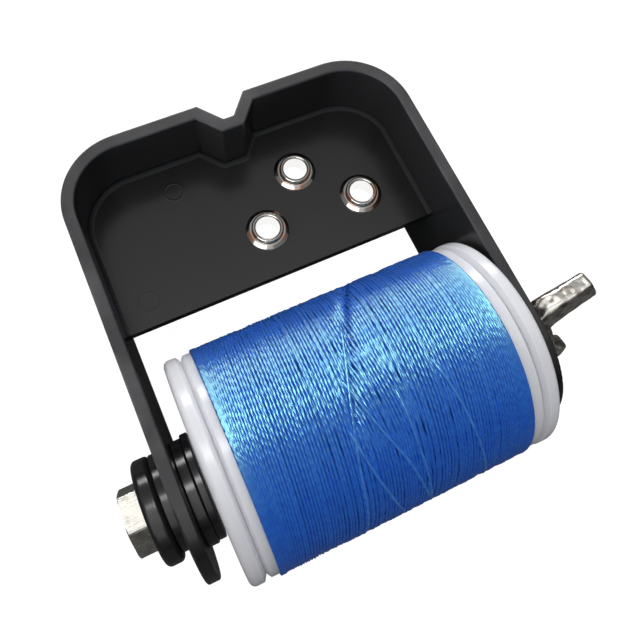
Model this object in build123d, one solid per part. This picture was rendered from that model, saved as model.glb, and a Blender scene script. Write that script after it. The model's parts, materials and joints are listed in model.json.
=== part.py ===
"""Bowstring serving jig: a thread spool on a clamp bolt in a moulded tray.

X runs along the clamp bolt from its head to the wing nut, Y runs from the spool to the
string notch, and Z is up with the tray lying open side up.  The pieces are built about
the axis of the two arm lugs, and are moved to the origin when they are written: below
the middle of the assembly's box, at its lowest point.
"""
from math import atan2, cos, degrees, radians, sin, tan
import os

from build123d import *

# ---------------------------------------------------------------- tray moulding
TRAY_WIDTH = 70.0          # over the outer faces of the two arms
TRAY_DEPTH = 30.4          # front rim to back rim
NOTCH_EDGE_Y = 63.8        # lug axis to the notched edge
SIDE_WALL = 2.35
END_WALL = 2.6
TRAY_CORNER = 13.3         # outer corner radius, seen from the front
THREAD_WINDOW = 6.98       # from the full spool of thread to the floor's lower edge
FLOOR_FRONT_Z = 1.9        # floor's front face above the middle of the walls
FLOOR_THICKNESS = 2.2
RIM_ROUND = 0.4
FLOOR_FILLET = 0.8
ROOT_FILLET = 0.5          # where the notch wall bends

NOTCH_HALF_MOUTH = 4.8
NOTCH_HALF_ROOT = 1.05
NOTCH_DEPTH = 4.45

# ---------------------------------------------------------------- thread eyelets
EYELET_BORE = 4.8
EYELET_WALL = 0.3
EYELET_HOLE_CLEARANCE = 0.05
EYELET_WASHER_OD = 8.7
EYELET_WASHER_HEIGHT = 0.75
EYELET_WASHER_EDGE = 0.25
EYELET_WASHER_BEVEL = 0.75  # width of the washer's sloping outer band
EYELET_LIP = 0.42          # radius of the rolled lip
EYELET_BACK_OD = 8.0
EYELET_BACK_THICKNESS = 0.4
EYELET_PITCH = 21.0        # between the two lower eyelets
EYELET_ROW_MARGIN = 9.7    # floor's lower edge to the lower eyelets
EYELET_TOP_MARGIN = 11.4   # upper eyelet to the end wall's inner face

# ---------------------------------------------------------------- clamp bolt, 1/4 in
BOLT_DIAMETER = 6.35
BOLT_PROTRUSION = 1.05     # past the wing nut's hub, which makes the bolt 3 1/4 in long
BOLT_END_CHAMFER = 0.6
HEX_ACROSS_FLATS = 11.11
HEX_HEIGHT = 3.6
HEX_BEVEL_START = 0.95     # radius of the head's flat end face, in shares of the flats' circle
HEX_TURN = 17.4            # a corner of the hexagon leans this far from +Z towards -Y
ARM_HOLE_CLEARANCE = 1.05  # holes in the arms over the bolt's diameter
BOLT_GAP = 0.02            # between the bolt and the side of each hole it hangs in

# ---------------------------------------------------------------- washers on the bolt
WASHER_HOLE_CLEARANCE = 1.55
HEAD_WASHER_OD = 18.9
HEAD_WASHER_THICKNESS = 3.2
HEAD_WASHER_ROUND = 0.9
OUTER_SPACER_OD = 17.5
OUTER_SPACER_THICKNESS = 1.9
INNER_SPACER_OD = 19.1
INNER_SPACER_THICKNESS = 2.0
LEFT_DRAG_WASHER_OD = 19.3
LEFT_DRAG_WASHER_THICKNESS = 1.45
RIGHT_DRAG_WASHER_OD = 19.1
RIGHT_DRAG_WASHER_THICKNESS = 0.7
WASHER_EDGE = 0.25
NUT_WASHER_OD = 15.9
NUT_WASHER_THICKNESS = 0.8
NUT_WASHER_EDGE = 0.1
HEAD_WASHER_LIFT = 0.0     # how far each loose washer sits above the bolt's axis
OUTER_SPACER_LIFT = 0.55
INNER_SPACER_LIFT = 0.25
LEFT_DRAG_WASHER_LIFT = 0.7
RIGHT_DRAG_WASHER_LIFT = 0.4

# ---------------------------------------------------------------- spool
CAP_DIAMETER = 41.6
CAP_THICKNESS = 3.1
CAP_EDGE_ROUND = 1.1
CAP_HUB_DIAMETER = 15.0
CAP_HUB_HEIGHT = 0.55
CAP_HUB_ROUND = 0.2
CAP_DISH_DEPTH = 0.8       # shallow recess in the cap's face
CAP_DISH_DIAMETER = 33.0
CAP_PLUG_LENGTH = 5.0
CAP_PLUG_WALL = 1.9
PLUG_CLEARANCE = 0.05
SPOOL_BORE = 11.6
FLANGE_DIAMETER = 41.2
FLANGE_THICKNESS = 2.9
FLANGE_EDGE_ROUND = 0.3
CORE_WALL = 1.6
TAIL_GROOVE_WIDTH = 1.3    # V groove between cap and flange that grips the thread's tail
TAIL_GROOVE_DEPTH = 1.0
SPOOL_GAP = 0.05           # bore to bolt, and hub faces to washers

# ---------------------------------------------------------------- thread on the spool
WINDING_DIAMETER = 42.3
WINDING_SHOULDER = 0.9
WINDING_CLEARANCE = 0.03

# ---------------------------------------------------------------- wing nut
NUT_HUB_HEIGHT = 5.6
NUT_HUB_BASE = 11.0
NUT_HUB_TOP = 9.1
NUT_HUB_ROUND = 0.5
NUT_BORE_CLEARANCE = 0.05
NUT_HEIGHT = 16.05         # from its seat to the tips of the wings before rounding
WING_SPAN = 26.0
WING_WIDTH = 6.0
WING_LEAN = 28.9           # each wing leans this far out from the bolt's line
WING_OUTER_ROUND = 1.6
WING_INNER_ROUND = 2.3
WING_SHOULDER_REACH = 9.2
WING_SHOULDER_HEIGHT = 1.0
WING_SHOULDER_ROUND = 2.6
WING_ROOT_REACH = 3.4      # bolt's axis to the wing's end inside the hub
WING_ROOT_DEPTH = 0.4      # inner edge meets that end this far below the hub's top
WING_THICKNESS = 3.0
WING_EDGE_ROUND = 1.1
WING_TURN = 18.6           # the wings lean this far from Z towards +Y

# ---------------------------------------------------------------- worked-out places
ARM_OUTER_X = TRAY_WIDTH / 2
ARM_INNER_X = ARM_OUTER_X - SIDE_WALL
HALF_DEPTH = TRAY_DEPTH / 2
FLOOR_BACK_Z = FLOOR_FRONT_Z - FLOOR_THICKNESS

ARM_HOLE = BOLT_DIAMETER + ARM_HOLE_CLEARANCE
WASHER_HOLE = BOLT_DIAMETER + WASHER_HOLE_CLEARANCE
BOLT_Y = BOLT_GAP - ARM_HOLE_CLEARANCE / 2
OUTER_SPACER_X = -ARM_OUTER_X - OUTER_SPACER_THICKNESS
HEAD_WASHER_X = OUTER_SPACER_X - HEAD_WASHER_THICKNESS
HEAD_SEAT_X = HEAD_WASHER_X
INNER_SPACER_X = -ARM_INNER_X
LEFT_DRAG_X = INNER_SPACER_X + INNER_SPACER_THICKNESS
RIGHT_DRAG_X = ARM_INNER_X - RIGHT_DRAG_WASHER_THICKNESS
NUT_WASHER_X = ARM_OUTER_X
NUT_SEAT_X = NUT_WASHER_X + NUT_WASHER_THICKNESS
BOLT_LENGTH = NUT_SEAT_X + NUT_HUB_HEIGHT + BOLT_PROTRUSION - HEAD_SEAT_X

SPOOL_START_X = LEFT_DRAG_X + LEFT_DRAG_WASHER_THICKNESS + SPOOL_GAP
SPOOL_END_X = RIGHT_DRAG_X - SPOOL_GAP
CAP_START_X = SPOOL_START_X + CAP_HUB_HEIGHT
CAP_END_X = SPOOL_END_X - CAP_HUB_HEIGHT
FLANGE_START_X = CAP_START_X + CAP_THICKNESS
FLANGE_END_X = CAP_END_X - CAP_THICKNESS
WINDING_START_X = FLANGE_START_X + FLANGE_THICKNESS
WINDING_END_X = FLANGE_END_X - FLANGE_THICKNESS
PLUG_RADIUS = SPOOL_BORE / 2 + CAP_PLUG_WALL
CORE_BORE_RADIUS = PLUG_RADIUS + PLUG_CLEARANCE
CORE_RADIUS = CORE_BORE_RADIUS + CORE_WALL
# Thread pull draws the spool up until the lower side of its bore lies on the bolt.
SPOOL_Y = BOLT_Y + (SPOOL_BORE - BOLT_DIAMETER) / 2 - SPOOL_GAP
FLOOR_LOW_Y = SPOOL_Y + WINDING_DIAMETER / 2 + THREAD_WINDOW

# Outer diameter, thickness, edge round, first face's X and lift of each loose washer.
LOOSE_WASHERS = {
    "head_washer": (
        HEAD_WASHER_OD, HEAD_WASHER_THICKNESS, HEAD_WASHER_ROUND,
        HEAD_WASHER_X, HEAD_WASHER_LIFT,
    ),
    "outer_spacer": (
        OUTER_SPACER_OD, OUTER_SPACER_THICKNESS, WASHER_EDGE,
        OUTER_SPACER_X, OUTER_SPACER_LIFT,
    ),
    "inner_spacer": (
        INNER_SPACER_OD, INNER_SPACER_THICKNESS, WASHER_EDGE,
        INNER_SPACER_X, INNER_SPACER_LIFT,
    ),
    "drag_washer_left": (
        LEFT_DRAG_WASHER_OD, LEFT_DRAG_WASHER_THICKNESS, WASHER_EDGE,
        LEFT_DRAG_X, LEFT_DRAG_WASHER_LIFT,
    ),
    "drag_washer_right": (
        RIGHT_DRAG_WASHER_OD, RIGHT_DRAG_WASHER_THICKNESS, WASHER_EDGE,
        RIGHT_DRAG_X, RIGHT_DRAG_WASHER_LIFT,
    ),
}

EYELET_ROW_Y = FLOOR_LOW_Y + EYELET_ROW_MARGIN
EYELET_CENTRES = {
    "left": (0.0, EYELET_ROW_Y),
    "top": (EYELET_PITCH / 2, NOTCH_EDGE_Y - END_WALL - EYELET_TOP_MARGIN),
    "right": (EYELET_PITCH, EYELET_ROW_Y),
}


# ---------------------------------------------------------------- small helpers
def polygon(points):
    """Flat face in the XY plane with straight sides."""
    return make_face(Polyline(*points, close=True))


def turned(corners):
    """Solid of revolution about Z from (radius, height, corner round) triples."""
    points = [(radius, 0, height) for radius, height, _ in corners]
    rounds = [corner_round for _, _, corner_round in corners]
    return revolve(make_face(FilletPolyline(*points, radius=rounds, close=True)), Axis.Z)


def ring(outer, hole, thickness, edge):
    """Washer standing on the XY plane, its outer edges rounded by edge."""
    return turned([
        (hole / 2, 0, 0),
        (outer / 2, 0, edge),
        (outer / 2, thickness, edge),
        (hole / 2, thickness, 0),
    ])


def on_bolt(shape, start_x, lift=0.0):
    """Lay a shape built up along Z onto the bolt's line, starting at start_x."""
    return Pos(start_x, BOLT_Y + lift, 0) * Rot(0, 90, 0) * shape


def on_spool(shape, start_x, facing=1):
    """Lay a shape built up along Z onto the spool's line, running to +X or to -X."""
    return Pos(start_x, SPOOL_Y, 0) * Rot(0, 90 * facing, 0) * shape


# ---------------------------------------------------------------- tray
def notch_outer():
    """Corners of the string notch, from the left of its mouth to the right."""
    root_y = NOTCH_EDGE_Y - NOTCH_DEPTH
    return [
        (-NOTCH_HALF_MOUTH, NOTCH_EDGE_Y),
        (-NOTCH_HALF_ROOT, root_y),
        (NOTCH_HALF_ROOT, root_y),
        (NOTCH_HALF_MOUTH, NOTCH_EDGE_Y),
    ]


def notch_inner():
    """Corners of the wall that follows the notch, one end-wall thickness inside it."""
    run = NOTCH_HALF_MOUTH - NOTCH_HALF_ROOT
    slant = atan2(NOTCH_DEPTH, run)
    root_half = NOTCH_HALF_ROOT + END_WALL * tan(slant / 2)
    mouth_half = NOTCH_HALF_MOUTH + END_WALL * tan(slant / 2)
    mouth_y = NOTCH_EDGE_Y - END_WALL
    root_y = mouth_y - NOTCH_DEPTH
    return [(-mouth_half, mouth_y), (-root_half, root_y), (root_half, root_y), (mouth_half, mouth_y)]


def tray_face(half_width, edge_y, corner, notch):
    """Front view of the tray: square below, two round corners and a notch above."""
    low_y = -TRAY_DEPTH
    face = Pos(0, (edge_y + low_y) / 2) * Rectangle(2 * half_width, edge_y - low_y)
    face = fillet(face.vertices().group_by(Axis.Y)[-1], corner)
    above = edge_y + END_WALL
    face = face - polygon([(notch[0][0], above), *notch, (notch[-1][0], above)])
    root_y = notch[1][1]
    roots = [corner for corner in face.vertices() if abs(corner.Y - root_y) < 0.01]
    return fillet(roots, ROOT_FILLET)


def arm_side_view():
    """Side view of the arms: full depth, with a full round end about the lug axis."""
    flank = Pos(0, NOTCH_EDGE_Y, 0) * Box(2 * TRAY_WIDTH, 2 * NOTCH_EDGE_Y, TRAY_DEPTH)
    end = Rot(0, 90, 0) * Cylinder(HALF_DEPTH, 2 * TRAY_WIDTH)
    return flank + end


def tray_pocket():
    """What the two pockets and the gap between the arms take out of the block."""
    face = tray_face(ARM_INNER_X, NOTCH_EDGE_Y - END_WALL, TRAY_CORNER - SIDE_WALL, notch_inner())
    front = Pos(0, 0, FLOOR_FRONT_Z) * extrude(face, TRAY_DEPTH)
    back = Pos(0, 0, FLOOR_BACK_Z) * extrude(face, -TRAY_DEPTH)
    gap = Pos(0, FLOOR_LOW_Y - NOTCH_EDGE_Y, 0) * Box(2 * ARM_INNER_X, 2 * NOTCH_EDGE_Y, 2 * TRAY_DEPTH)
    return front, back, gap


def floor_corners(tray):
    """Edges along which the floor meets the walls, front and back."""
    edges = []
    for level in (FLOOR_FRONT_Z, FLOOR_BACK_Z):
        for edge in tray.edges().filter_by_position(Axis.Z, level - 0.01, level + 0.01):
            middle = edge @ 0.5
            if middle.Y > FLOOR_LOW_Y + 0.01:
                edges.append(edge)
    return edges


def rim_edges(tray):
    """Edges of the front and back rims, and of the round arm ends that continue them."""
    edges = []
    for edge in tray.edges():
        box = edge.bounding_box()
        flat = box.max.Z - box.min.Z < 0.01
        on_rim = flat and abs(abs(box.min.Z) - HALF_DEPTH) < 0.01
        on_end = box.max.X - box.min.X < 0.01 and box.min.Y < -HALF_DEPTH + 0.01
        along_x = box.max.Y - box.min.Y < 0.01 and abs(box.min.Y) < 0.01
        if (on_rim or on_end) and not along_x:
            edges.append(edge)
    return edges


def tray():
    """The moulded tray: U-shaped wall, floor, notch and two arms with round ends."""
    face = tray_face(ARM_OUTER_X, NOTCH_EDGE_Y, TRAY_CORNER, notch_outer())
    body = Pos(0, 0, -HALF_DEPTH) * extrude(face, TRAY_DEPTH)
    for piece in tray_pocket():
        body = body - piece
    body = fillet(floor_corners(body), FLOOR_FILLET)
    body = body & arm_side_view()
    body = fillet(rim_edges(body), RIM_ROUND)
    body = body - Rot(0, 90, 0) * Cylinder(ARM_HOLE / 2, 2 * TRAY_WIDTH)
    hole_radius = EYELET_BORE / 2 + EYELET_WALL + EYELET_HOLE_CLEARANCE
    for x, y in EYELET_CENTRES.values():
        body = body - Pos(x, y, 0) * Cylinder(hole_radius, TRAY_DEPTH)
    return body


# ---------------------------------------------------------------- eyelets
def eyelet():
    """Brass eyelet: back flange, barrel through the floor, lip rolled over in front."""
    inner = EYELET_BORE / 2
    outer = inner + EYELET_WALL
    low = -FLOOR_THICKNESS - EYELET_BACK_THICKNESS
    lip_height = EYELET_WASHER_HEIGHT + EYELET_LIP
    barrel = turned([
        (inner, low, EYELET_WALL / 2),
        (EYELET_BACK_OD / 2, low, EYELET_BACK_THICKNESS / 2),
        (EYELET_BACK_OD / 2, -FLOOR_THICKNESS, 0),
        (outer, -FLOOR_THICKNESS, 0),
        (outer, lip_height, 0),
        (inner, lip_height, 0),
    ])
    return barrel + Pos(0, 0, lip_height) * Torus(inner + EYELET_LIP, EYELET_LIP)


def eyelet_washer():
    """Domed ring between the tray's floor and the eyelet's rolled lip."""
    hole = EYELET_BORE / 2 + EYELET_WALL + EYELET_HOLE_CLEARANCE
    outer = EYELET_WASHER_OD / 2
    return turned([
        (hole, 0, 0),
        (outer, 0, 0),
        (outer, EYELET_WASHER_EDGE, EYELET_WASHER_EDGE / 2),
        (outer - EYELET_WASHER_BEVEL, EYELET_WASHER_HEIGHT, EYELET_WASHER_BEVEL / 2),
        (hole, EYELET_WASHER_HEIGHT, 0),
    ])


# ---------------------------------------------------------------- bolt and its washers
def clamp_bolt():
    """Hexagon bolt: bevelled head below the XY plane, shank and chamfered end above."""
    hexagon = RegularPolygon(HEX_ACROSS_FLATS / 2, 6, major_radius=False)
    corner = hexagon.vertices().sort_by(Axis.X)[-1]
    first_turn = degrees(atan2(corner.Y, corner.X))
    head = extrude(Rot(0, 0, HEX_TURN - first_turn) * hexagon, -HEX_HEIGHT)
    flat_circle = HEX_ACROSS_FLATS / 2
    widest = HEX_ACROSS_FLATS / cos(radians(30)) / 2
    bevel_drop = (widest - HEX_BEVEL_START * flat_circle) * tan(radians(30))
    bevel = turned([
        (0, -HEX_HEIGHT, 0),
        (HEX_BEVEL_START * flat_circle, -HEX_HEIGHT, 0),
        (widest, bevel_drop - HEX_HEIGHT, 0),
        (widest, 0, 0),
        (0, 0, 0),
    ])
    shank = turned([
        (0, 0, 0),
        (BOLT_DIAMETER / 2, 0, 0),
        (BOLT_DIAMETER / 2, BOLT_LENGTH - BOLT_END_CHAMFER, 0),
        (BOLT_DIAMETER / 2 - BOLT_END_CHAMFER, BOLT_LENGTH, 0),
        (0, BOLT_LENGTH, 0),
    ])
    return (head & bevel) + shank


# ---------------------------------------------------------------- spool
def spool_cap():
    """End cap of the spool: raised hub face, dished web, rim and the plug behind it."""
    bore = SPOOL_BORE / 2
    hub = CAP_HUB_DIAMETER / 2
    rim = CAP_DIAMETER / 2
    dish = CAP_DISH_DIAMETER / 2
    face = CAP_HUB_HEIGHT
    back = face + CAP_THICKNESS
    plug_end = back + CAP_PLUG_LENGTH
    return turned([
        (bore, 0, 0),
        (hub, 0, CAP_HUB_ROUND),
        (hub, face + CAP_DISH_DEPTH, 0),
        (dish - CAP_DISH_DEPTH, face + CAP_DISH_DEPTH, CAP_DISH_DEPTH / 2),
        (dish, face, CAP_HUB_ROUND),
        (rim, face, CAP_EDGE_ROUND),
        (rim, back - TAIL_GROOVE_WIDTH / 2, CAP_HUB_ROUND),
        (rim - TAIL_GROOVE_DEPTH, back, 0),
        (PLUG_RADIUS, back, 0),
        (PLUG_RADIUS, plug_end, CAP_HUB_ROUND),
        (bore, plug_end, 0),
    ])


def spool_barrel():
    """Core tube with the two flanges that hold the thread, built from its first end."""
    length = FLANGE_END_X - FLANGE_START_X
    rim = FLANGE_DIAMETER / 2
    half_groove = TAIL_GROOVE_WIDTH / 2
    return turned([
        (CORE_BORE_RADIUS, 0, 0),
        (rim - TAIL_GROOVE_DEPTH, 0, 0),
        (rim, half_groove, FLANGE_EDGE_ROUND),
        (rim, FLANGE_THICKNESS, FLANGE_EDGE_ROUND),
        (CORE_RADIUS, FLANGE_THICKNESS, 0),
        (CORE_RADIUS, length - FLANGE_THICKNESS, 0),
        (rim, length - FLANGE_THICKNESS, FLANGE_EDGE_ROUND),
        (rim, length - half_groove, FLANGE_EDGE_ROUND),
        (rim - TAIL_GROOVE_DEPTH, length, 0),
        (CORE_BORE_RADIUS, length, 0),
    ])


def thread_winding():
    """The wound thread as one ring that fills the barrel between its flanges."""
    inner = CORE_RADIUS + WINDING_CLEARANCE
    outer = WINDING_DIAMETER / 2
    width = WINDING_END_X - WINDING_START_X
    return turned([
        (inner, WINDING_CLEARANCE, 0),
        (outer, WINDING_CLEARANCE, WINDING_SHOULDER),
        (outer, width - WINDING_CLEARANCE, WINDING_SHOULDER),
        (inner, width - WINDING_CLEARANCE, 0),
    ])


# ---------------------------------------------------------------- wing nut
def lies_flat(edge):
    """True for an edge that runs in one plane of constant Y."""
    box = edge.bounding_box()
    return box.max.Y - box.min.Y < 0.01


def wing():
    """One wing of the nut, reaching to +X from the bolt's line, its edges rounded."""
    lean = radians(WING_LEAN)
    outer_height = NUT_HEIGHT - WING_WIDTH * sin(lean)
    inner_reach = WING_SPAN / 2 - WING_WIDTH * cos(lean)
    outline = FilletPolyline(
        (WING_ROOT_REACH, 0, WING_SHOULDER_HEIGHT),
        (WING_SHOULDER_REACH, 0, WING_SHOULDER_HEIGHT),
        (WING_SPAN / 2, 0, outer_height),
        (inner_reach, 0, NUT_HEIGHT),
        (WING_ROOT_REACH, 0, NUT_HUB_HEIGHT - WING_ROOT_DEPTH),
        radius=[0, WING_SHOULDER_ROUND, WING_OUTER_ROUND, WING_INNER_ROUND, 0],
        close=True,
    )
    blade = extrude(make_face(outline), WING_THICKNESS / 2, both=True)
    flat_edges = [edge for edge in blade.edges() if lies_flat(edge)]
    outer_edges = [edge for edge in flat_edges if (edge @ 0.5).X > WING_ROOT_REACH + 0.01]
    return fillet(outer_edges, WING_EDGE_ROUND)


def wing_nut():
    """Hub with two wings, standing on the XY plane with its bore along Z."""
    hub = turned([
        (0, 0, 0),
        (NUT_HUB_BASE / 2, 0, NUT_HUB_ROUND),
        (NUT_HUB_TOP / 2, NUT_HUB_HEIGHT, NUT_HUB_ROUND),
        (0, NUT_HUB_HEIGHT, 0),
    ])
    first = wing()
    body = hub + first + Rot(0, 0, 180) * first
    bore = Cylinder(BOLT_DIAMETER / 2 + NUT_BORE_CLEARANCE, 4 * NUT_HEIGHT)
    return Rot(0, 0, -WING_TURN) * (body - bore)


# ---------------------------------------------------------------- assembly
def jig():
    """Every piece in place, by name."""
    pieces = {"tray": tray()}
    for side, (x, y) in EYELET_CENTRES.items():
        place = Pos(x, y, FLOOR_FRONT_Z)
        pieces[f"eyelet_{side}"] = place * eyelet()
        pieces[f"eyelet_washer_{side}"] = place * eyelet_washer()
    pieces["clamp_bolt"] = on_bolt(clamp_bolt(), HEAD_SEAT_X)
    for name, (outer, thickness, edge, start_x, lift) in LOOSE_WASHERS.items():
        pieces[name] = on_bolt(ring(outer, WASHER_HOLE, thickness, edge), start_x, lift)
    nut_washer_hole = BOLT_DIAMETER + 2 * NUT_BORE_CLEARANCE
    nut_washer = ring(NUT_WASHER_OD, nut_washer_hole, NUT_WASHER_THICKNESS, NUT_WASHER_EDGE)
    pieces["nut_washer"] = on_bolt(nut_washer, NUT_WASHER_X)
    pieces["wing_nut"] = on_bolt(wing_nut(), NUT_SEAT_X)
    pieces["spool_barrel"] = on_spool(spool_barrel(), FLANGE_START_X)
    pieces["spool_cap_left"] = on_spool(spool_cap(), SPOOL_START_X)
    pieces["spool_cap_right"] = on_spool(spool_cap(), SPOOL_END_X, -1)
    pieces["thread_winding"] = on_spool(thread_winding(), WINDING_START_X)
    return pieces


os.makedirs("parts", exist_ok=True)
assembly = jig()
box = Compound(list(assembly.values())).bounding_box()
to_origin = Pos(-box.center().X, -box.center().Y, -box.min.Z)
for node, shape in assembly.items():
    export_step(to_origin * shape, f"parts/{node}.step")
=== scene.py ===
"""Bowstring serving jig: the looks of its moulded tray, spool of thread and hardware.

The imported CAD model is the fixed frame, in metres, with X along the clamp bolt from its head
to the wing nut, Y from the spool to the string notch and Z up.  Pieces whose CAD shape is
right keep it and get a finish; the thread, the bolt and the wing nut are modelled here.
"""

import json
import math

import bpy
import numpy as np
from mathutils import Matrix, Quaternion, Vector


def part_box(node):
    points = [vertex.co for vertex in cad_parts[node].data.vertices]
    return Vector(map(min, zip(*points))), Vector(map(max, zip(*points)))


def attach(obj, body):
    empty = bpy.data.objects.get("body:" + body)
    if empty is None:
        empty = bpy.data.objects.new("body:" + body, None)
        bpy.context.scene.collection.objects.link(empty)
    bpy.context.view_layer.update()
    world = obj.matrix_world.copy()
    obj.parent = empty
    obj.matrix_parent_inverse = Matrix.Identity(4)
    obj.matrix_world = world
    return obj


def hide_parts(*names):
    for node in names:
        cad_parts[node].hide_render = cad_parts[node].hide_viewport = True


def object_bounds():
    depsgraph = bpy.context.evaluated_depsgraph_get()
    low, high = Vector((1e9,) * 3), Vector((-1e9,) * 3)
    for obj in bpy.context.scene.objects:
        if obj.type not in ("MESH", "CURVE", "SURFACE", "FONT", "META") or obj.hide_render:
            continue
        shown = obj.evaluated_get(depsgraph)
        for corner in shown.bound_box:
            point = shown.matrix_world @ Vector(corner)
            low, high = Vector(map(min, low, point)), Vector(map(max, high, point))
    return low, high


bl_info = {
    "name": "Serving jig",
    "version": (1, 0, 0),
    "blender": (4, 5, 0),
    "location": "View3D > Sidebar > Serving jig",
    "description": "Finishes a bowstring serving jig around its CAD frame",
    "category": "Object",
}

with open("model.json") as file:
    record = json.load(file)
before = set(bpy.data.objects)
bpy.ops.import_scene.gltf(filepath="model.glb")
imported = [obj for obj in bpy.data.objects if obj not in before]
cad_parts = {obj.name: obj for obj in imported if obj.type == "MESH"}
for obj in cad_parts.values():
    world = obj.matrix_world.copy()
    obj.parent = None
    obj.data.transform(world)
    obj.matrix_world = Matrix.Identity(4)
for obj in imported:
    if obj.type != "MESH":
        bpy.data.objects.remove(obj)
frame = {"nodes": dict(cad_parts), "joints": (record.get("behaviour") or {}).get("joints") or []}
CAD_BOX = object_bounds()

MM = 0.001
TURN = 2 * math.pi

TRAY_LOW, TRAY_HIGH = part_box("tray")
FLOOR_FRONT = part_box("eyelet_washer_left")[0].z  # those washers lie on the tray's floor
WINDING_LOW, WINDING_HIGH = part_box("thread_winding")
BOLT_LOW, BOLT_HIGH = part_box("clamp_bolt")
HEAD_WASHER_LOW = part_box("head_washer")[0]
NUT_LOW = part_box("wing_nut")[0]
JOINTS = {joint["name"]: joint for joint in frame["joints"]}
SPOOL_CENTRE = Vector(JOINTS["spool_spin"]["pos_m"])
BOLT_CENTRE = Vector(JOINTS["nut_turn"]["pos_m"])


# ---------------- colours and nodes
def srgb(code):
    """Linear RGBA of a colour written as #RRGGBB."""
    parts = [int(code[i:i + 2], 16) / 255 for i in (1, 3, 5)]
    linear = [v / 12.92 if v <= 0.04045 else ((v + 0.055) / 1.055) ** 2.4 for v in parts]
    return (*linear, 1.0)


def add(tree, kind, inputs=None, **settings):
    """Adds one node with its settings; inputs gives each socket a value or another node's output."""
    node = tree.nodes.new(kind)
    for name, value in settings.items():
        setattr(node, name, value)
    for socket, value in (inputs or {}).items():
        if isinstance(value, bpy.types.NodeSocket):
            tree.links.new(value, node.inputs[socket])
        else:
            node.inputs[socket].default_value = value
    return node


def new_material(name, **sockets):
    """A material with one Principled shader, its constants set on the shader's own sockets."""
    material = bpy.data.materials.new(name)
    material.use_nodes = True
    shader = material.node_tree.nodes["Principled BSDF"]
    for socket, value in sockets.items():
        shader.inputs[socket.replace("_", " ")].default_value = value
    return material, material.node_tree, shader


def link(tree, output, shader, socket):
    """Feeds one of the shader's sockets."""
    tree.links.new(output, shader.inputs[socket])


# ---------------- materials
RUBBED_FROM = 0.45 * MM         # depth below the rim where rubbing starts to show
RUBBED_FULLY = 0.15 * MM
RIM_DULLNESS = 0.24             # added to the roughness there
CORNER_DULLNESS = 0.5           # added where floor and walls meet
FLOOR_FILLET = 0.8 * MM
EJECTOR_MARKS = ((-17.7, 32.6), (-30.2, 12.6))  # X and Y in mm of two rings on the tray's floor
EJECTOR_RADIUS = 1.9 * MM
MARK_WIDTH = 0.3 * MM


def ejector_ring(tree, place, x, y):
    """Height of one pin's ring on the tray's floor: 1 on its line, 0 off it."""
    off = add(tree, "ShaderNodeVectorMath", {
        0: place, 1: (x * MM, y * MM, FLOOR_FRONT),
    }, operation="DISTANCE").outputs["Value"]
    aside = add(tree, "ShaderNodeMath", {
        0: off, 1: EJECTOR_RADIUS,
    }, operation="SUBTRACT").outputs[0]
    return add(tree, "ShaderNodeMapRange", {
        "Value": add(tree, "ShaderNodeMath", {0: aside}, operation="ABSOLUTE").outputs[0],
        "From Max": MARK_WIDTH, "To Min": 1.0, "To Max": 0.0,
    }, interpolation_type="SMOOTHSTEP").outputs["Result"]


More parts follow.
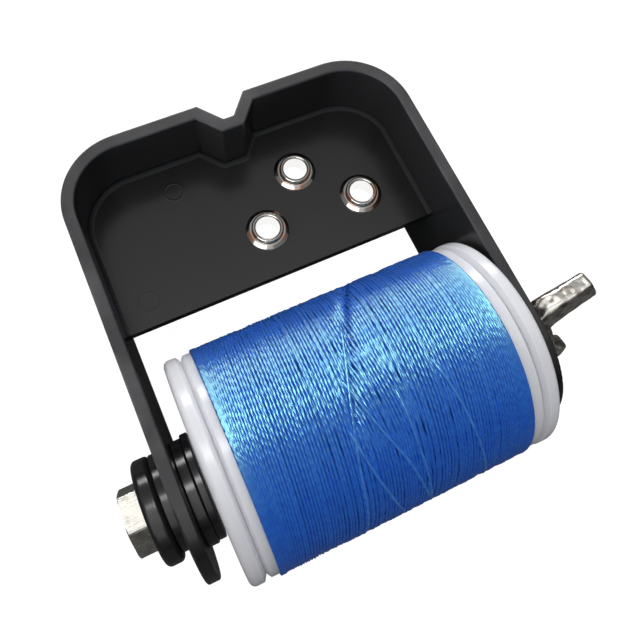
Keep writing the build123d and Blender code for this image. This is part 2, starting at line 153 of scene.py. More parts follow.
def abs_moulded_gloss_black(settings):
    """ABS, injection moulded: a mirror-like black with a faint orange peel, greyer on rubbed rims.

    The corner between floor and walls is duller, because a mould is not polished there, and the
    pins that push the tray out leave faint rings on its floor.
    """
    material, tree, shader = new_material("ABS, moulded, gloss black", IOR=1.53)
    place = add(tree, "ShaderNodeTexCoord").outputs["Object"]
    height = add(tree, "ShaderNodeSeparateXYZ", {"Vector": place}).outputs["Z"]
    middle = (TRAY_LOW.z + TRAY_HIGH.z) / 2
    from_middle = add(tree, "ShaderNodeMath", {
        0: height, 1: middle,
    }, operation="SUBTRACT").outputs[0]
    out = add(tree, "ShaderNodeMath", {0: from_middle}, operation="ABSOLUTE").outputs[0]
    rim = (TRAY_HIGH.z - TRAY_LOW.z) / 2
    rubbed = add(tree, "ShaderNodeMapRange", {
        "Value": out, "From Min": rim - RUBBED_FROM, "From Max": rim - RUBBED_FULLY,
    }).outputs["Result"]
    scuffs = add(tree, "ShaderNodeTexNoise", {
        "Vector": place, "Scale": 1 / (4 * MM), "Detail": 6.0,
    }).outputs["Fac"]
    patches = add(tree, "ShaderNodeTexNoise", {
        "Vector": place, "Scale": 1 / (9 * MM), "Detail": 4.0,
    }).outputs["Fac"]
    worn = add(tree, "ShaderNodeMapRange", {
        "Value": patches, "From Min": 0.45, "From Max": 0.75,
    }).outputs["Result"]
    rim_colour = add(tree, "ShaderNodeMix", {
        "Factor": worn, "A": settings.rim_colour, "B": settings.worn_colour,
    }, data_type="RGBA").outputs["Result"]
    colour = add(tree, "ShaderNodeMix", {
        "Factor": rubbed, "A": settings.plastic_colour, "B": rim_colour,
    }, data_type="RGBA").outputs["Result"]
    link(tree, colour, shader, "Base Color")
    gloss = add(tree, "ShaderNodeMapRange", {
        "Value": scuffs, "To Min": 0.16, "To Max": 0.30,
    }).outputs["Result"]
    dull = add(tree, "ShaderNodeMath", {
        0: rubbed, 1: RIM_DULLNESS, 2: gloss,
    }, operation="MULTIPLY_ADD").outputs[0]
    # The band is a little narrower than the fillet is high, so that the floor itself stays glossy.
    near_floor = add(tree, "ShaderNodeMath", {
        0: height, 1: FLOOR_FRONT + FLOOR_FILLET / 2, 2: FLOOR_FILLET * 0.48,
    }, operation="COMPARE").outputs[0]
    upward = add(tree, "ShaderNodeSeparateXYZ", {
        "Vector": add(tree, "ShaderNodeNewGeometry").outputs["True Normal"],
    }).outputs["Z"]
    leaning = add(tree, "ShaderNodeMath", {0: upward, 1: 0.05}, operation="GREATER_THAN").outputs[0]
    in_corner = add(tree, "ShaderNodeMath", {
        0: near_floor, 1: leaning,
    }, operation="MULTIPLY").outputs[0]
    duller = add(tree, "ShaderNodeMath", {
        0: in_corner, 1: CORNER_DULLNESS, 2: dull,
    }, operation="MULTIPLY_ADD").outputs[0]
    link(tree, duller, shader, "Roughness")
    peel = add(tree, "ShaderNodeTexNoise", {
        "Vector": place, "Scale": 1 / (1.6 * MM), "Detail": 2.0,
    }).outputs["Fac"]
    bump = add(tree, "ShaderNodeBump", {"Height": peel, "Strength": 0.10, "Distance": 0.02 * MM})
    for x, y in EJECTOR_MARKS:
        bump = add(tree, "ShaderNodeBump", {
            "Height": ejector_ring(tree, place, x, y), "Normal": bump.outputs["Normal"],
            "Strength": 0.35, "Distance": 0.06 * MM,
        })
    link(tree, bump.outputs["Normal"], shader, "Normal")
    return material


def rubber_moulded_black(settings):
    """Rubber, moulded: a softer black than the tray, with a satin gleam on its round edges."""
    material, tree, shader = new_material("Rubber, moulded, satin black", IOR=1.52)
    shader.inputs["Base Color"].default_value = settings.washer_colour
    place = add(tree, "ShaderNodeTexCoord").outputs["Object"]
    grain = add(tree, "ShaderNodeTexNoise", {
        "Vector": place, "Scale": 1 / (0.7 * MM), "Detail": 4.0,
    }).outputs["Fac"]
    dull = add(tree, "ShaderNodeMapRange", {
        "Value": grain, "To Min": 0.14, "To Max": 0.26,
    }).outputs["Result"]
    link(tree, dull, shader, "Roughness")
    bump = add(tree, "ShaderNodeBump", {"Height": grain, "Strength": 0.2, "Distance": 0.02 * MM})
    link(tree, bump.outputs["Normal"], shader, "Normal")
    return material


def brass_nickel_plated(settings):
    """Brass, stamped and nickel plated: bright and a little uneven, with warm glints painted on in
    patches.
    """
    material, tree, shader = new_material("Brass, stamped, nickel plated", Metallic=1.0)
    place = add(tree, "ShaderNodeTexCoord").outputs["Object"]
    # Painted glints: warm patches at random places stand in for warm reflections on the plate.
    warm_glint_patches = add(tree, "ShaderNodeTexNoise", {
        "Vector": place, "Scale": 1 / (3 * MM), "Detail": 2.0,
    }).outputs["Fac"]
    warm = add(tree, "ShaderNodeMapRange", {
        "Value": warm_glint_patches, "From Min": 0.52, "From Max": 0.66, "To Max": 0.8,
    })
    colour = add(tree, "ShaderNodeMix", {
        "Factor": warm.outputs["Result"], "A": settings.nickel_colour, "B": settings.nickel_warm_glint_colour,
    }, data_type="RGBA").outputs["Result"]
    # Painted highlight: the steep bore walls take a near-white plate that stands in for the glare in the
    # holes.
    normal = add(tree, "ShaderNodeNewGeometry").outputs["True Normal"]
    upward = add(tree, "ShaderNodeSeparateXYZ", {"Vector": normal}).outputs["Z"]
    steep = add(tree, "ShaderNodeMapRange", {
        "Value": add(tree, "ShaderNodeMath", {0: upward}, operation="ABSOLUTE").outputs[0],
        "From Min": 0.1, "From Max": 0.3, "To Min": 1.0, "To Max": 0.0,
    }).outputs["Result"]
    bright = add(tree, "ShaderNodeMix", {
        "Factor": steep, "A": colour, "B": settings.bore_glare_colour,
    }, data_type="RGBA").outputs["Result"]
    link(tree, bright, shader, "Base Color")
    shader.inputs["Roughness"].default_value = 0.12
    dents = add(tree, "ShaderNodeTexNoise", {
        "Vector": place, "Scale": 1 / (1.2 * MM), "Detail": 3.0,
    }).outputs["Fac"]
    bump = add(tree, "ShaderNodeBump", {"Height": dents, "Strength": 0.35, "Distance": 0.08 * MM})
    link(tree, bump.outputs["Normal"], shader, "Normal")
    return material


def steel_cold_headed_zinc(settings):
    """Steel, cold headed and zinc plated: bright grey with fine draw lines along the bolt."""
    material, tree, shader = new_material("Steel, cold headed, zinc plated", Metallic=1.0)
    place = add(tree, "ShaderNodeTexCoord").outputs["Object"]
    drawn = add(tree, "ShaderNodeMapping", {
        "Vector": place, "Scale": (0.12, 1.0, 1.0),
    }).outputs["Vector"]
    lines = add(tree, "ShaderNodeTexNoise", {
        "Vector": drawn, "Scale": 1 / (0.35 * MM), "Detail": 5.0,
    }).outputs["Fac"]
    spots = add(tree, "ShaderNodeTexNoise", {
        "Vector": place, "Scale": 1 / (2.2 * MM), "Detail": 3.0,
    }).outputs["Fac"]
    tarnish = add(tree, "ShaderNodeMapRange", {
        "Value": spots, "From Min": 0.5, "From Max": 0.75, "To Max": 0.5,
    })
    colour = add(tree, "ShaderNodeMix", {
        "Factor": tarnish.outputs["Result"], "A": settings.zinc_colour, "B": settings.tarnish_colour,
    }, data_type="RGBA").outputs["Result"]
    link(tree, colour, shader, "Base Color")
    dull = add(tree, "ShaderNodeMapRange", {
        "Value": lines, "To Min": 0.16, "To Max": 0.36,
    }).outputs["Result"]
    link(tree, dull, shader, "Roughness")
    bump = add(tree, "ShaderNodeBump", {"Height": lines, "Strength": 0.7, "Distance": 0.1 * MM})
    link(tree, bump.outputs["Normal"], shader, "Normal")
    return material


def zinc_cast_bright(settings):
    """Zinc alloy, die cast and plated: bright and dimpled, browner where the plate has dulled."""
    material, tree, shader = new_material("Zinc, die cast, bright plated", Metallic=1.0)
    place = add(tree, "ShaderNodeTexCoord").outputs["Object"]
    dimples = add(tree, "ShaderNodeTexVoronoi", {
        "Vector": place, "Scale": 1 / (1.7 * MM), "Smoothness": 1.0,
    }, feature="SMOOTH_F1").outputs["Distance"]
    clouds = add(tree, "ShaderNodeTexNoise", {
        "Vector": place, "Scale": 1 / (1.8 * MM), "Detail": 1.5,
    }).outputs["Fac"]
    dulled = add(tree, "ShaderNodeMapRange", {
        "Value": clouds, "From Min": 0.42, "From Max": 0.7, "To Max": 0.85,
    })
    colour = add(tree, "ShaderNodeMix", {
        "Factor": dulled.outputs["Result"], "A": settings.zinc_colour, "B": settings.tarnish_colour,
    }, data_type="RGBA").outputs["Result"]
    link(tree, colour, shader, "Base Color")
    shader.inputs["Roughness"].default_value = 0.2
    bump = add(tree, "ShaderNodeBump", {"Height": dimples, "Strength": 0.8, "Distance": 0.35 * MM})
    link(tree, bump.outputs["Normal"], shader, "Normal")
    return material


def nylon_natural_white(settings):
    """Nylon, moulded, undyed: milky white, satin, letting a little light into its edges."""
    material, tree, shader = new_material("Nylon, moulded, natural white", IOR=1.53)
    shader.inputs["Base Color"].default_value = settings.spool_colour
    shader.inputs["Subsurface Weight"].default_value = 0.85
    shader.inputs["Subsurface Radius"].default_value = (1.0, 0.9, 0.8)
    shader.inputs["Subsurface Scale"].default_value = 4 * MM
    place = add(tree, "ShaderNodeTexCoord").outputs["Object"]
    grain = add(tree, "ShaderNodeTexNoise", {
        "Vector": place, "Scale": 1 / (2.5 * MM), "Detail": 5.0,
    }).outputs["Fac"]
    dull = add(tree, "ShaderNodeMapRange", {
        "Value": grain, "To Min": 0.18, "To Max": 0.28,
    }).outputs["Result"]
    link(tree, dull, shader, "Roughness")
    bump = add(tree, "ShaderNodeBump", {"Height": grain, "Strength": 0.25, "Distance": 0.06 * MM})
    link(tree, bump.outputs["Normal"], shader, "Normal")
    return material


def polyester_twisted_blue(name, dark, light, glint):
    """Polyester thread, twisted from plies and waxed: blue, with a silky glint that the twist breaks up.

    The specular tint gives that glint its turquoise cast under a white light.
    """
    material, tree, shader = new_material(
        "Polyester, twisted and waxed, " + name, IOR=1.58, Specular_Tint=glint)
    strand = add(tree, "ShaderNodeUVMap", uv_map="strand").outputs["UV"]
    ply = add(tree, "ShaderNodeTexWave", {
        "Vector": strand, "Scale": 1.0, "Distortion": 0.7, "Detail": 0.0,
    }, wave_type="BANDS", bands_direction="DIAGONAL").outputs["Fac"]
    place = add(tree, "ShaderNodeTexCoord").outputs["Object"]
    dye = add(tree, "ShaderNodeTexNoise", {
        "Vector": place, "Scale": 1 / (1.4 * MM), "Detail": 3.0,
    }).outputs["Fac"]
    shade = add(tree, "ShaderNodeMapRange", {
        "Value": dye, "From Min": 0.3, "From Max": 0.7,
    }).outputs["Result"]
    colour = add(tree, "ShaderNodeMix", {
        "Factor": shade, "A": dark, "B": light,
    }, data_type="RGBA").outputs["Result"]
    link(tree, colour, shader, "Base Color")
    shader.inputs["Roughness"].default_value = 0.28
    bump = add(tree, "ShaderNodeBump", {"Height": ply, "Strength": 0.55, "Distance": 0.08 * MM})
    link(tree, bump.outputs["Normal"], shader, "Normal")
    return material


def acrylic_lit_from_below(settings):
    """Opal acrylic sheet, cast and lit from below: an even pale ground that keeps shadows faint."""
    material, tree, shader = new_material("Opal acrylic, cast, lit from below", IOR=1.49, Roughness=0.9)
    shader.inputs["Base Color"].default_value = settings.floor_colour
    shader.inputs["Emission Color"].default_value = (1.0, 1.0, 1.0, 1.0)
    shader.inputs["Emission Strength"].default_value = settings.floor_glow
    return material


# ---------------- mesh helpers
def piece_from(name, vertices, faces, material, body, uvs=None, crease=180):
    """A mesh object that rides on a body, shaded smooth save for edges sharper than crease degrees."""
    mesh = bpy.data.meshes.new(name)
    mesh.from_pydata(vertices, [], faces)
    if uvs is not None:
        layer = mesh.uv_layers.new(name="strand")
        layer.data.foreach_set("uv", np.asarray(uvs, np.float32).ravel())
    mesh.shade_smooth()
    mesh.set_sharp_from_angle(angle=math.radians(crease))
    mesh.materials.append(material)
    made = bpy.data.objects.new(name, mesh)
    bpy.context.scene.collection.objects.link(made)
    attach(made, body)
    return made


def turned_rings(rings, sides, centre, start=0.0):
    """Vertices of circles about the X line through centre, from (x, radius) pairs.

    A radius may be one number or one for each side.
    """
    angles = start + np.arange(sides) * TURN / sides
    points = []
    for x, radius in rings:
        across = np.broadcast_to(radius, sides)
        points += [
            (x, centre.y + r * math.cos(a), centre.z + r * math.sin(a))
            for r, a in zip(across, angles)
        ]
    return points


def joined_rings(count, sides, closed=False):
    """Quads between each ring and the next, facing out; closed joins the last ring to the first."""
    faces = []
    for ring in range(count if closed else count - 1):
        here, there = ring * sides, (ring + 1) % count * sides
        for side in range(sides):
            after = (side + 1) % sides
            faces.append((here + side, here + after, there + after, there + side))
    return faces


def capped_rings(count, sides):
    """Quads between each ring and the next, with a face over each end."""
    last = (count - 1) * sides
    return joined_rings(count, sides) + [tuple(range(sides))[::-1], tuple(range(last, last + sides))]


def finish_nodes(names, material):
    """Gives CAD nodes their finish."""
    for name in names:
        node = frame["nodes"][name]
        node.data.materials.clear()
        node.data.materials.append(material)


# ---------------- thread
THREAD_SQUASH = 0.9             # height of a strand over its width, pressed flat by its neighbours
UNDER_DEPTH = 0.26 * MM         # how much deeper the passes lie that the others cross
ROLL_DEPTH = 0.09 * MM          # unevenness of one strand's height
KNOTS_PER_PASS = 12             # places in one pass where its wander and roll are drawn anew
PATCH_REACH = 6 * MM            # along the spool, between places where over and under change
PATCH_LEVEL = 0.7               # higher makes the changed places smaller
PATCH_EDGE = 8                  # higher makes a strand change its height more sharply
TURN_ROUND = 0.97               # nearer 1 turns the thread back more sharply at the flanges
WINDING_SHOULDER = 0.4 * MM
STRAND_SAMPLES = 64             # around one turn
STRAND_SIDES = 8
WAVE_PERIOD = TURN / 10         # of the wave texture, in its own coordinates
PLIES = 3
PLY_SPACING = 1.6 * MM          # along the thread, coarser than the real twist so that it shows
TWIST_SLIP = 1.6                # plies by which the twist runs ahead or behind
TWIST_SLIP_REACH = 22 * MM
VALLEY_WIDTH = 0.75 * MM
VALLEY_DEPTH = 1.15 * MM
VALLEY_RUN_OUT = 10             # degrees over which it fades at both ends
STRAY_LIFT = 0.2 * MM
STRAY_STEP = 2.0                # degrees between the points along a stray turn
STRAY_DIVE = 12                 # degrees over which its ends sink into the rest
STRAY_LANDED = 172              # degrees of turn by which it lies on the rest
STRAY_LANDING = 50              # degrees over which its lift goes before that
CORE_DEPTH = 2.4 * MM           # from the outside of the winding to the plain core under it
CORE_WALL = 3 * MM
CORE_SIDES = 160
SPILL = (0.85 * MM, 0.25 * MM)  # how far the full winding laps over the rims of the two flanges
LAP_RADIUS = 20.6 * MM          # radius of those rims

# Places on the winding: distance along the spool from its middle in mm, turn from +Y in degrees.
VALLEY = ((7.4, 10), (5.0, 28), (1.1, 53), (-1.3, 73), (-3.3, 85), (-4.4, 95), (-6.4, 108))
STRAYS = (
    ((0.1, 55), (-2.2, 73), (-4.4, 88), (-6.8, 110), (-7.8, 124), (-8.6, 162), (-9.2, 190)),
    ((-5.0, 82), (-4.0, 93), (-2.4, 109), (0.5, 129), (3.2, 160), (5.6, 190)),
    ((-7.2, 102), (-6.8, 110), (-5.6, 127), (-1.3, 168), (0.8, 190)),
    ((2.4, 95), (2.7, 107), (2.7, 125), (3.7, 162), (4.8, 185)),
    ((9.8, 88), (11.4, 107), (14.9, 167), (16.2, 190)),
)


def middle_of(width):
    """Place of the spool's middle on a winding of this width, which laps further over one flange."""
    return (width + SPILL[0] - SPILL[1]) / 2


def wound_path(settings, width):
    """Place, turn angle, pass and roll along one thread laid back and forth across the spool."""
    rng = np.random.default_rng(settings.seed)
    turns = round(width / settings.lead) + settings.lay / settings.lead / 2
    share = np.arange(int(turns * STRAND_SAMPLES * settings.passes)) / STRAND_SAMPLES / turns
    swing = np.arcsin(TURN_ROUND * np.sin(math.pi * (share - 0.5))) / math.asin(TURN_ROUND)
    place = width * (0.5 + 0.5 * swing)
    knots = np.arange(settings.passes * KNOTS_PER_PASS + 1)
    at = share * KNOTS_PER_PASS
    drift = np.interp(at, knots, rng.normal(0, settings.wander, len(knots)))
    roll = np.interp(at, knots, rng.normal(0, ROLL_DEPTH, len(knots)))
    place = np.clip(place + drift * np.cos(swing * math.pi / 2), 0, width)
    return place, share * turns * TURN, share.astype(int), roll


def wound_radius(place, angle, number, roll, width, outer, half):
    """Radius of the thread's middle, the passes one way lying over those the other way."""
    patch = np.sin(2 * angle + 1.3) * np.sin(place / PATCH_REACH + 0.7)
    over = 0.5 + 0.5 * np.tanh(PATCH_EDGE * (patch - PATCH_LEVEL))
    depth = UNDER_DEPTH * np.where(number % 2 == 0, 1 - over, over)
    along, turned = np.array(VALLEY).T
    bearing = np.degrees(angle) % 360
    off = (place - middle_of(width) - np.interp(bearing, turned, along) * MM) / VALLEY_WIDTH
    begun = np.clip((bearing - turned[0]) / VALLEY_RUN_OUT, 0, 1)
    inside = begun * np.clip((turned[-1] - bearing) / VALLEY_RUN_OUT, 0, 1)
    depth += VALLEY_DEPTH * inside * np.exp(-off ** 2)
    radius = outer - half * THREAD_SQUASH - depth - np.abs(roll)
    lapping = (place < SPILL[0]) | (place > width - SPILL[1])
    return np.where(lapping, np.maximum(radius, LAP_RADIUS + half * THREAD_SQUASH), radius)


def stray_path(course, width, outer, half):
    """Place, angle and radius along a loose turn that lies on the winding and dives in at both ends."""
    along, turned = np.array(course).T
    bearing = np.arange(turned[0], turned[-1], STRAY_STEP)
    place = np.interp(bearing, turned, along) * MM + middle_of(width)
    padded = np.pad(place, 4, mode="reflect", reflect_type="odd")
    place = np.convolve(padded, np.full(9, 1 / 9), mode="valid")
    from_end = np.minimum(bearing - turned[0], turned[-1] - bearing)
    dive = np.clip(1 - from_end / STRAY_DIVE, 0, 1) ** 2
    lift = STRAY_LIFT * np.clip((STRAY_LANDED - bearing) / STRAY_LANDING, 0, 1)
    return place, np.radians(bearing), outer - half * THREAD_SQUASH + lift - 3 * half * dive


def strand_mesh(place, angle, radius, half, rng):
    """Vertices, faces and UVs of a round strand along a path about the spool's axis."""
    sides = STRAND_SIDES
    outward = np.stack([np.zeros_like(angle), np.cos(angle), np.sin(angle)], 1)
    points = outward * radius[:, None]
    points[:, 0] = place
    along = np.gradient(points, axis=0)
    along /= np.linalg.norm(along, axis=1)[:, None]
    across = np.cross(along, outward)
    across /= np.linalg.norm(across, axis=1)[:, None]
    around = np.arange(sides) * TURN / sides + math.pi
    ring = (points[:, None] + half * THREAD_SQUASH * np.cos(around)[None, :, None] * outward[:, None]
            + half * np.sin(around)[None, :, None] * across[:, None])
    count = len(points)
    faces = np.array(joined_rings(2, sides))
    quads = (faces[None] + (np.arange(count - 1) * sides)[:, None, None]).reshape(-1, 4)
    length = np.concatenate([[0], np.cumsum(np.linalg.norm(np.diff(points, axis=0), axis=1))])
    knots = np.arange(length[-1] / TWIST_SLIP_REACH + 2)
    slip = np.interp(length / TWIST_SLIP_REACH, knots, rng.normal(0, TWIST_SLIP, len(knots)))
    side = quads % sides
    wraps = (side == 0) & (side.max(axis=1, keepdims=True) == sides - 1)
    corners = np.stack([
        (length / PLY_SPACING + slip)[quads // sides],
        np.where(wraps, sides, side) * PLIES / sides,
    ], -1)
    ends = [list(range(sides))[::-1], list(range((count - 1) * sides, count * sides))]
    uvs = np.concatenate([(corners * WAVE_PERIOD).reshape(-1, 2), np.zeros((2 * sides, 2))])
    return ring.reshape(-1, 3), quads.tolist() + ends, uvs


class ThreadSettings(bpy.types.PropertyGroup):
    strand_diameter: bpy.props.FloatProperty(
        name="Thread diameter", description="Diameter of the serving thread", default=0.56 * MM,
        unit="LENGTH")
    lead: bpy.props.FloatProperty(
        name="Lead", description="How far the thread moves along the spool in one turn",
        default=7.0 * MM, unit="LENGTH")
    lay: bpy.props.FloatProperty(
        name="Lay", description="Distance between neighbouring passes", default=0.51 * MM,
        unit="LENGTH")
    passes: bpy.props.IntProperty(
        name="Passes", description="Runs of the thread across the spool that are modelled",
        default=28)
    wander: bpy.props.FloatProperty(
        name="Wander", description="How far a pass strays from its even lead", default=0.09 * MM,
        unit="LENGTH")
    seed: bpy.props.IntProperty(
        name="Seed", description="Picks one arrangement of the winding", default=4)
    thread_colour: bpy.props.FloatVectorProperty(
        name="Thread colour", description="Darker dye of the thread", size=4, subtype="COLOR",
        default=srgb("#245CCC"))
    thread_light_colour: bpy.props.FloatVectorProperty(
        name="Lighter thread colour", description="Lighter dye of the thread", size=4,
        subtype="COLOR", default=srgb("#2A6CD4"))
    # Painted highlight: this lighter blue on the loose turns stands in for the light on their raised
    # tops.
    loose_lit_colour: bpy.props.FloatVectorProperty(
        name="Loose thread colour", description="Dye of the turns that lie loose on the rest",
        size=4, subtype="COLOR", default=srgb("#4C8CE6"))
    glint_colour: bpy.props.FloatVectorProperty(
        name="Glint colour", description="Tint of the thread's highlights", size=4, subtype="COLOR",
        default=srgb("#B4FF9C"))


class OBJECT_OT_jig_thread(bpy.types.Operator):
    """Winds the serving thread crosswise onto the spool"""

    bl_idname = "object.jig_thread"
    bl_label = "Wind thread"

    def execute(self, context):
        settings = context.scene.jig_thread
        glint = settings.glint_colour
        dark, light = settings.thread_colour, settings.thread_light_colour
        material = polyester_twisted_blue("laid", dark, light, glint)
        # The loose turns get a lighter copy of the thread's material, a painted highlight for the light
        # on their raised tops.
        loose = polyester_twisted_blue("loose", light, settings.loose_lit_colour, glint)
        half = settings.strand_diameter / 2
        width = WINDING_HIGH.x - WINDING_LOW.x - 2 * half + sum(SPILL)
        outer = (WINDING_HIGH.z - WINDING_LOW.z) / 2
        place, angle, number, roll = wound_path(settings, width)
        radius = wound_radius(place, angle, number, roll, width, outer, half)
        cut = len(place) // 2
        paths = {
            "thread_under": (place[:cut + 1], angle[:cut + 1], radius[:cut + 1]),
            "thread_over": (place[cut:], angle[cut:], radius[cut:]),
        }
        for count, course in enumerate(STRAYS, 1):
            paths[f"thread_stray_{count}"] = stray_path(course, width, outer, half)
        centre = np.array([WINDING_LOW.x + half - SPILL[0], SPOOL_CENTRE.y, SPOOL_CENTRE.z])
        rng = np.random.default_rng(settings.seed)
        for name, path in paths.items():
            vertices, faces, uvs = strand_mesh(*path, half, rng)
            # The loose turns take the lighter copy, painted lighter for the light on their raised tops.
            dye = loose if name.startswith("thread_stray") else material
            points = (vertices + centre).tolist()
            strand = piece_from(name, points, faces, dye, "spool", uvs)
            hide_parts("thread_winding")
        core = outer - CORE_DEPTH
        low, high = WINDING_LOW.x, WINDING_HIGH.x
        left, right = low + WINDING_SHOULDER, high - WINDING_SHOULDER
        rings = [
            (low, core - CORE_WALL), (low, core - WINDING_SHOULDER), (left, core),
            (right, core), (high, core - WINDING_SHOULDER), (high, core - CORE_WALL),
        ]
        points = turned_rings(rings, CORE_SIDES, SPOOL_CENTRE)
        faces = joined_rings(len(rings), CORE_SIDES, closed=True)
        piece_from("thread_core", points, faces, material, "spool",
                   np.zeros((4 * len(faces), 2)))
        return {"FINISHED"}


# ---------------- moulded tray and spool
WASHERS = ("head_washer", "outer_spacer", "inner_spacer", "drag_washer_left", "drag_washer_right")
SPOOL_PIECES = ("spool_barrel", "spool_cap_left", "spool_cap_right")


class PlasticSettings(bpy.types.PropertyGroup):
    plastic_colour: bpy.props.FloatVectorProperty(
        name="Tray colour", description="Black of the moulded tray", size=4, subtype="COLOR",
        default=srgb("#141415"))
    rim_colour: bpy.props.FloatVectorProperty(
        name="Rim colour", description="Grey of the tray's rubbed rims", size=4, subtype="COLOR",
        default=srgb("#262628"))
    worn_colour: bpy.props.FloatVectorProperty(
        name="Worn rim colour", description="Grey of the rims where they are rubbed most", size=4,
        subtype="COLOR", default=srgb("#3E3E40"))
    washer_colour: bpy.props.FloatVectorProperty(
        name="Washer colour", description="Black of the loose washers", size=4, subtype="COLOR",
        default=srgb("#1B1B1D"))
    spool_colour: bpy.props.FloatVectorProperty(
        name="Spool colour", description="Milky white of the spool", size=4, subtype="COLOR",
        default=srgb("#E6E6EC"))


class OBJECT_OT_jig_tray(bpy.types.Operator):
    """Gives the tray its moulded finish"""

    bl_idname = "object.jig_tray"
    bl_label = "Finish tray"

    def execute(self, context):
        finish_nodes(["tray"], abs_moulded_gloss_black(context.scene.jig_plastic))
        return {"FINISHED"}


class OBJECT_OT_jig_washers(bpy.types.Operator):
    """Gives the loose black washers their finish"""

    bl_idname = "object.jig_washers"
    bl_label = "Finish washers"

    def execute(self, context):
        finish_nodes(WASHERS, rubber_moulded_black(context.scene.jig_plastic))
        return {"FINISHED"}


class OBJECT_OT_jig_spool(bpy.types.Operator):
    """Gives the spool's barrel and caps their finish"""

    bl_idname = "object.jig_spool"
    bl_label = "Finish spool"

    def execute(self, context):
        finish_nodes(SPOOL_PIECES, nylon_natural_white(context.scene.jig_plastic))
        return {"FINISHED"}


# ---------------- metal hardware
class HardwareSettings(bpy.types.PropertyGroup):
    nickel_colour: bpy.props.FloatVectorProperty(
        name="Nickel", description="Plate on the eyelets", size=4, subtype="COLOR",
        default=srgb("#A09C98"))
    # Painted highlight: near-white plate on the eyelets' bore walls, standing in for the glare in the
    # holes.
    bore_glare_colour: bpy.props.FloatVectorProperty(
        name="Bore", description="Thread-polished plate inside the eyelets", size=4,
        subtype="COLOR", default=srgb("#F6F5F3"))
    # Painted glints: the warm tint laid in patches on the eyelets stands in for warm reflections.
    nickel_warm_glint_colour: bpy.props.FloatVectorProperty(
        name="Thin plate", description="Tint where the eyelets' plate is thin", size=4,
        subtype="COLOR", default=srgb("#B98A70"))
    zinc_colour: bpy.props.FloatVectorProperty(
        name="Zinc", description="Plate on the bolt and wing nut", size=4, subtype="COLOR",
        default=srgb("#D2D0C8"))
    casting_seed: bpy.props.IntProperty(
        name="Casting seed", description="Picks one arrangement of the wing nut's dimples",
        default=2)
    tarnish_colour: bpy.props.FloatVectorProperty(
        name="Tarnish", description="Dulled plate", size=4, subtype="COLOR",
        default=srgb("#6E5C55"))


class OBJECT_OT_jig_eyelets(bpy.types.Operator):
    """Gives the eyelets and their washers their plating"""

    bl_idname = "object.jig_eyelets"
    bl_label = "Finish eyelets"

    def execute(self, context):
        names = [name for name in frame["nodes"] if name.startswith("eyelet")]
        finish_nodes(names, brass_nickel_plated(context.scene.jig_hardware))
        return {"FINISHED"}


HEX_FLATS = 11.11 * MM
HEX_CORNER = 107.4              # degrees from +Y to one corner, towards +Z
HEX_CORNER_WEAR = 0.12 * MM
HEX_BEVEL_START = 1.07          # radius where the bevel starts, in shares of the flats' circle
HEX_BEVEL_ANGLE = math.radians(30)
HEX_BEVEL_STEPS = 10
HEAD_DISH = 0.2 * MM
SEAT_EDGE = 0.15 * MM
HEAD_SIDES = 96
SHANK_RADIUS = 3.175 * MM
PITCH = 1.27 * MM
THREAD_LENGTH = 25.4 * MM
THREAD_DEPTH = 0.75 * MM
ROOT_TO_CREST = 0.875           # from the middle of the root, in half pitches
FLANK = 0.625                   # the sloping part of that
RUN_OUT = 1.5                   # turns over which the thread fades into the plain shank
END_CHAMFER = 0.6 * MM
RINGS_PER_PITCH = 20


def head_rings(start, seat):
    """Rings of the hexagon head: dished end face, 30 degree bevel, worn corners and seat."""
    across = np.arange(HEAD_SIDES) % (HEAD_SIDES // 6) / (HEAD_SIDES // 6) * 60 - 30
    hexagon = HEX_FLATS / 2 / np.cos(np.radians(across))
    hexagon = np.minimum(hexagon, hexagon.max() - HEX_CORNER_WEAR)
    face = HEX_BEVEL_START * HEX_FLATS / 2
    rings = [(start + HEAD_DISH, 0.4 * MM), (start + HEAD_DISH, 0.6 * face), (start, 0.75 * face)]
    for step in range(HEX_BEVEL_STEPS + 1):
        rise = step / HEX_BEVEL_STEPS * (hexagon.max() - face)
        rings.append((start + rise * math.tan(HEX_BEVEL_ANGLE), np.minimum(hexagon, face + rise)))
    rings += [
        (seat - SEAT_EDGE, hexagon), (seat, hexagon - 0.12 * MM), (seat, SHANK_RADIUS + 0.4 * MM)]
    return rings


def shank_rings(seat, end):
    """Rings of the shank: plain, then a right-hand screw thread that fades into it, then a chamfer."""
    first = end - THREAD_LENGTH
    rings = [(seat + 0.4 * MM, SHANK_RADIUS), (first - 0.1 * MM, SHANK_RADIUS)]
    turned = np.arange(HEAD_SIDES) / HEAD_SIDES
    for x in np.linspace(first, end, round(THREAD_LENGTH / PITCH * RINGS_PER_PITCH)):
        from_root = np.abs(((x - first) / PITCH - turned) % 1 - 0.5) * 2
        fade = min((x - first) / PITCH / RUN_OUT, 1)
        cut = np.clip((ROOT_TO_CREST - from_root) / FLANK, 0, 1) * fade
        chamfer = SHANK_RADIUS - END_CHAMFER + end - x
        rings.append((x, np.minimum(SHANK_RADIUS - THREAD_DEPTH * cut, chamfer)))
    return rings


class OBJECT_OT_jig_bolt(bpy.types.Operator):
    """Makes the hexagon bolt with its screw thread and plates the flat washer"""

    bl_idname = "object.jig_bolt"
    bl_label = "Make bolt"

    def execute(self, context):
        material = steel_cold_headed_zinc(context.scene.jig_hardware)
        finish_nodes(["nut_washer"], material)
        seat = HEAD_WASHER_LOW.x
        rings = head_rings(BOLT_LOW.x, seat) + shank_rings(seat, BOLT_HIGH.x)
        points = turned_rings(rings, HEAD_SIDES, BOLT_CENTRE, math.radians(HEX_CORNER))
        faces = capped_rings(len(rings), HEAD_SIDES)
        bolt = piece_from("bolt", points, faces, material, "tray", crease=28)
        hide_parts("clamp_bolt")
        return {"FINISHED"}


HUB_BASE = 5.5 * MM             # radius at its seat
HUB_TOP = 4.55 * MM
HUB_HEIGHT = 5.6 * MM
NUT_BORE = 3.225 * MM
WING_TURN = math.radians(18.6)  # the wings lean this far from Z towards +Y
